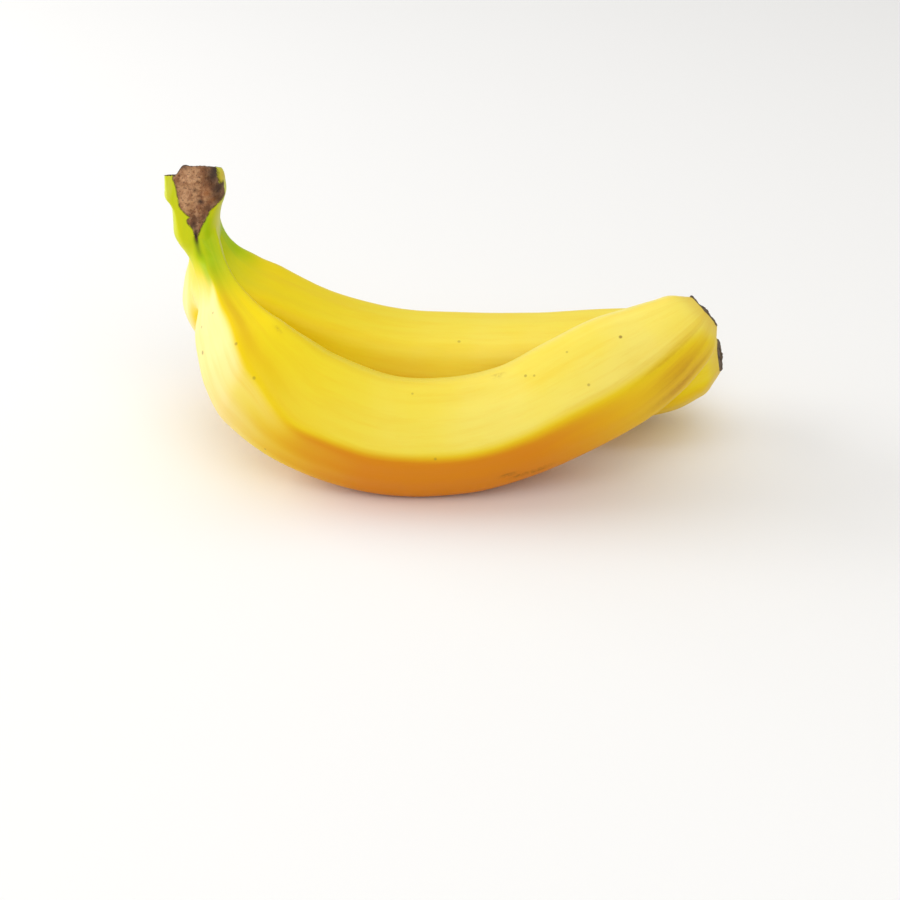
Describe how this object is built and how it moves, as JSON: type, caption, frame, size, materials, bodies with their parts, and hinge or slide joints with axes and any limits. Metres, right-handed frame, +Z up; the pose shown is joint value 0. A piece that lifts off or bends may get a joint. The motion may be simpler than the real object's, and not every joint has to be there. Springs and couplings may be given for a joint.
{
  "type": "cavendish banana",
  "caption": "Ripe yellow bananas joined at their crown, curved and bluntly ridged, lying on their outer curves with the stem end up.",
  "frame": {"origin": "on the surface that the fruit lies on, under the middle of its box", "axes": "+X from the crown towards the blossom ends, +Y from the front finger to the back one, +Z up"},
  "size_m": [0.175, 0.0866, 0.0871],
  "materials": {
    "banana_skin": "smooth, waxy, semi-matt ripe banana skin, green towards the stem, brown where it is cut or withered"
  },
  "bodies": {
    "root": {"banana_pair": "banana_skin"}
  },
  "joints": []
}
